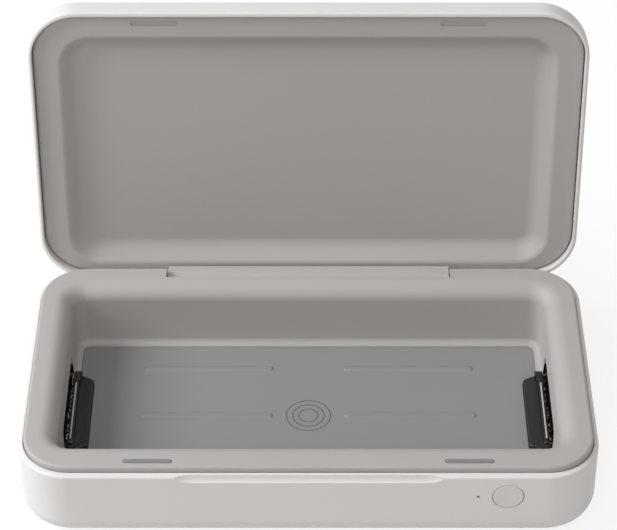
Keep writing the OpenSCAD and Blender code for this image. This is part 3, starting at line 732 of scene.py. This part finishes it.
# Lid shell: the white ABS top, moulded like the lower case, with a generous rounding round its
# top face and a thin lip that meets the case's lip when the box is shut.
opening, lid_z = 95.8, 34.5
hinge_line = Vector((0, hinge_y, hinge_z)) * 0.001
opened = (Matrix.Translation(hinge_line) @ Matrix.Rotation(math.radians(-opening), 4, "X")
          @ Matrix.Translation(-hinge_line))
bm = bmesh.new()
stack(bm, [
    (224.8, 123.8, 19.2, 46.8, 5.6),                 # inside
    (224.8, 123.8, 19.2, lid_z, 0.3),
    (width, depth, corner_r, lid_z, 1.0),            # lip and outside
    (width, depth, corner_r, lid_z + 14.5, 7.5)])
lid_top = made(bm, "lid_top")
lid_top.data.transform(opened)
finish(lid_top, white_satin)
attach(lid_top, "lid")
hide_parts("lid_shell")


# Lid liner: a shallow grey pan of the tub liner's matt ABS, pushed into the lid until its rim
# stands just inside the lip. Two small recesses take the bumpers and a notch takes the hinge.
pan_rim_z = lid_z + 2.3
bm = bmesh.new()
stack(bm, [
    (190.92, 96.42, 6.96, 42.8, 6.0),                # floor of the pan, foot of its slope
    (202.92, 108.42, 12.96, pan_rim_z, 2.5),
    (224.4, 123.4, 19.0, pan_rim_z, 2.0),            # flat rim and its skirt
    (224.4, 123.4, 19.0, 40.8, 0),
    (221.2, 120.2, 17.4, 40.8, 0),
    (221.2, 120.2, 17.4, 38.4, 0),
    (204.8, 110.3, 13.9, 38.4, 0),                   # back of the pan
    (196.8, 102.3, 9.9, 42.4, 0),
    (191.8, 97.3, 7.4, 44.0, 0),
    (186.0, 91.5, 4.5, 44.5, 0)])
pan = [v for v in bm.verts if math.hypot(max(abs(v.co.x) - 88.5, 0), max(abs(v.co.y) - 41.25, 0)) < 14.3]
bmesh.ops.translate(bm, vec=(0, 2.75, 0), verts=pan)
lid_pan = made(bm, "lid_pan")

bm = bmesh.new()
add_block(bm, (-60.2, 59.5, 34), (60.2, 63.5, 43.5))
for x in (-bumper_x, bumper_x):
    add_pill(bm, x, bumper_y - 0.2, 18.6, 2.0, 0.98, 34, 37.6)
carve(lid_pan, [made(bm, "notch_and_recesses")])
lid_pan.data.transform(opened)
finish(lid_pan, liner_grey, 0.12)
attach(lid_pan, "lid")
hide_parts("lid_liner")


# Hinge block: a long bar of pale grey acetal screwed into the lid by its leaf. Two steel pins
# at its ends let it turn in the notch of the lower case.
hinge_grey = moulded("hinge_grey", tint(190, 187, 183),
                     grain=2800.0, speckle=0.05, drift=0.03, roughness=0.50, marks=0.10, depth=0.008)
bar_half = 59.9
bm = bmesh.new()
bar = add_block(bm, (-bar_half, 57.5, 26.4), (bar_half, 64.0, lid_z))
nose = [e for e in bm.edges if all(v in bar and v.co.y < 58 and v.co.z < 27 for v in e.verts)]
bmesh.ops.bevel(bm, geom=nose, offset=2.2, offset_type="OFFSET", affect="EDGES",
                segments=8, profile=0.5, material=-1)
hinge = made(bm, "hinge_bar")
bm = bmesh.new()
add_block(bm, (-bar_half, 60.3, 34.2), (bar_half, 61.7, 42.0))
carve(hinge, [made(bm, "leaf")], "UNION")
bm = bmesh.new()
for x in (-61, 42):
    add_bar(bm, (x, hinge_y, hinge_z), (x + 19, hinge_y, hinge_z), 0.86, 32)
for x in (-45, 0, 45):
    add_bar(bm, (x, 59, 40.2), (x, 63, 40.2), 0.85, 24)
carve(hinge, [made(bm, "bores")])
hinge.data.transform(opened)
finish(hinge, hinge_grey, 0.2)
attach(hinge, "lid")
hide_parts("hinge_block")


# Works inside: bought circuit parts, coil, wires and magnets, which keep the source's shapes.
# Each gets the finish of its real material: solder mask, enamelled copper, ferrite, resin, steel.
def carried(material, *names):
    """Gives the source's own solids their finish."""
    for name in names:
        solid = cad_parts[name]
        solid.data.materials.clear()
        solid.data.materials.append(material)


board_mask = moulded("solder_mask", tint(28, 84, 52),
                     grain=900.0, speckle=0.25, drift=0.10, roughness=0.35, marks=0.10, depth=0.004)
carried(board_mask, "main_board", "driver_board", "usb_board")
enamel = moulded("enamelled_copper", tint(196, 120, 70),
                 grain=700.0, speckle=0.06, drift=0.08, roughness=0.30, marks=0.10, depth=0.0)
enamel.node_tree.nodes["Principled BSDF"].inputs["Metallic"].default_value = 0.9
tree = enamel.node_tree
spot = node(tree, "TexCoord").outputs["Object"]
flat = node(tree, "VectorMath", {0: spot, 1: (1.0, 1.0, 0.0)}, operation="MULTIPLY")
away = node(tree, "VectorMath", {0: flat.outputs[0]}, operation="LENGTH")
turns = node(tree, "Math", {0: away.outputs["Value"], 1: 0.0009}, operation="PINGPONG")
wound = node(tree, "Math", {0: turns.outputs[0], 1: 900.0}, operation="MULTIPLY")
relief = node(tree, "Bump", {"Height": wound.outputs[0], "Strength": 1.0, "Distance": 0.0003})
tree.links.new(relief.outputs["Normal"], tree.nodes["Principled BSDF"].inputs["Normal"])
carried(enamel, "charging_coil")
wire_red = moulded("lacquered_wire", tint(150, 74, 44),
                   grain=1500.0, speckle=0.08, drift=0.05, roughness=0.35, marks=0.08, depth=0.003)
carried(wire_red, "coil_cable")
ferrite = moulded("sintered_ferrite", tint(58, 58, 60),
                  grain=2500.0, speckle=0.20, drift=0.10, roughness=0.65, marks=0.10, depth=0.01)
carried(ferrite, "ferrite_sheet", "main_inductor", "driver_transformer")
resin_black = moulded("resin_black", tint(30, 30, 32),
                      grain=2200.0, speckle=0.15, drift=0.08, roughness=0.50, marks=0.10, depth=0.006)
carried(resin_black, "main_chip", "main_capacitors", "driver_capacitor", "switch_body",
        "switch_plunger", "lid_sensor")
nylon_white = moulded("nylon_white", tint(226, 222, 212),
                      grain=1800.0, speckle=0.04, drift=0.04, roughness=0.50, marks=0.08, depth=0.004)
carried(nylon_white, "wire_sockets", "indicator_led")
wire_white = moulded("wire_white", tint(222, 220, 214),
                     grain=1500.0, speckle=0.03, drift=0.04, roughness=0.45, marks=0.08, depth=0.004)
carried(wire_white, "lamp_cable_left", "lamp_cable_right")
wire_black = moulded("wire_black", tint(34, 34, 36),
                     grain=1500.0, speckle=0.10, drift=0.05, roughness=0.45, marks=0.08, depth=0.004)
carried(wire_black, "power_cable")
smoke = moulded("smoked_light_pipe", tint(92, 88, 84),
                grain=1200.0, speckle=0.05, drift=0.03, roughness=0.15, marks=0.05, depth=0.0)
carried(smoke, "light_pipe")
magnet = moulded("magnet_nickel", tint(184, 183, 178),
                 grain=2200.0, speckle=0.08, drift=0.06, roughness=0.25, marks=0.10, depth=0.002)
magnet.node_tree.nodes["Principled BSDF"].inputs["Metallic"].default_value = 1.0
carried(magnet, "base_magnets", "lid_magnets")
carried(zinc, "hinge_pin_left", "hinge_pin_right", "hinge_screws")


# Stage: a pale floor that shows white and keeps the box's shadow, a large soft window of light from
# the upper left, weak ones overhead and in front, and even light all round at a plain level.
def seen_directly(tree):
    """1 for rays from the camera, mirrored ones and those through glass, and 0 for spread light."""
    ray = node(tree, "LightPath").outputs
    seen = node(tree, "Math", {0: ray["Is Camera Ray"], 1: ray["Is Glossy Ray"]}, operation="MAXIMUM")
    return node(tree, "Math", {0: seen.outputs[0], 1: ray["Is Transmission Ray"]},
                operation="MAXIMUM").outputs[0]


bm = bmesh.new()
bmesh.ops.create_grid(bm, x_segments=1, y_segments=1, size=4000)
floor = made(bm, "floor")
floor_paint = bpy.data.materials.new("floor_paint")
floor_paint.use_nodes = True
tree = floor_paint.node_tree
tree.nodes.remove(tree.nodes["Principled BSDF"])
spot = node(tree, "TexCoord").outputs["Object"]
away = node(tree, "VectorMath", {0: spot}, operation="LENGTH")
far = node(tree, "MapRange", {0: away.outputs["Value"], 1: 0.35, 2: 0.9, 3: 0.0, 4: 1.0})
glow = node(tree, "MapRange", {0: far.outputs[0], 1: 0.0, 2: 1.0, 3: 0.80, 4: 1.0})
kept = node(tree, "MapRange", {0: far.outputs[0], 1: 0.0, 2: 1.0, 3: 0.25, 4: 0.0})
shown = node(tree, "AddShader", {
    0: node(tree, "Emission", {"Color": (1, 1, 1, 1), "Strength": glow.outputs[0]}).outputs[0],
    1: node(tree, "BsdfDiffuse", {"Color": kept.outputs[0]}).outputs[0]})
plain = node(tree, "BsdfDiffuse", {"Color": (0.64, 0.63, 0.62, 1)})
mixed = node(tree, "MixShader", {0: seen_directly(tree), 1: plain.outputs[0], 2: shown.outputs[0]})
tree.links.new(mixed.outputs[0], tree.nodes["Material Output"].inputs["Surface"])
floor.data.materials.append(floor_paint)

bpy.context.scene.view_settings.view_transform = "Standard"
world = bpy.data.worlds.new("studio")
bpy.context.scene.world = world
world.use_nodes = True
tree = world.node_tree
level = node(tree, "MapRange", {0: seen_directly(tree), 1: 0.0, 2: 1.0, 3: 0.26, 4: 1.0})
tree.links.new(level.outputs[0], tree.nodes["Background"].inputs["Strength"])
tree.nodes["Background"].inputs["Color"].default_value = (1, 1, 1, 1)


def soft_window(name, place, size, watts, colour):
    """Square area lamp aimed at the middle of the box."""
    lamp = bpy.data.lights.new(name, "AREA")
    lamp.size = size
    lamp.energy = watts
    lamp.color = colour
    one = bpy.data.objects.new(name, lamp)
    one.location = place
    one.rotation_euler = (Vector((0, 0.01, 0.04)) - Vector(place)).to_track_quat("-Z", "Y").to_euler()
    bpy.context.scene.collection.objects.link(one)


soft_window("window_left", (-1.20, -0.07, 0.96), 0.75, 20.0, (0.95, 0.975, 1.0))
soft_window("window_above", (0.35, 0.0, 1.7), 1.4, 1.5, (1.0, 0.98, 0.96))
soft_window("window_front", (0.10, -1.25, 1.15), 1.2, 7.0, (1.0, 0.985, 0.96))
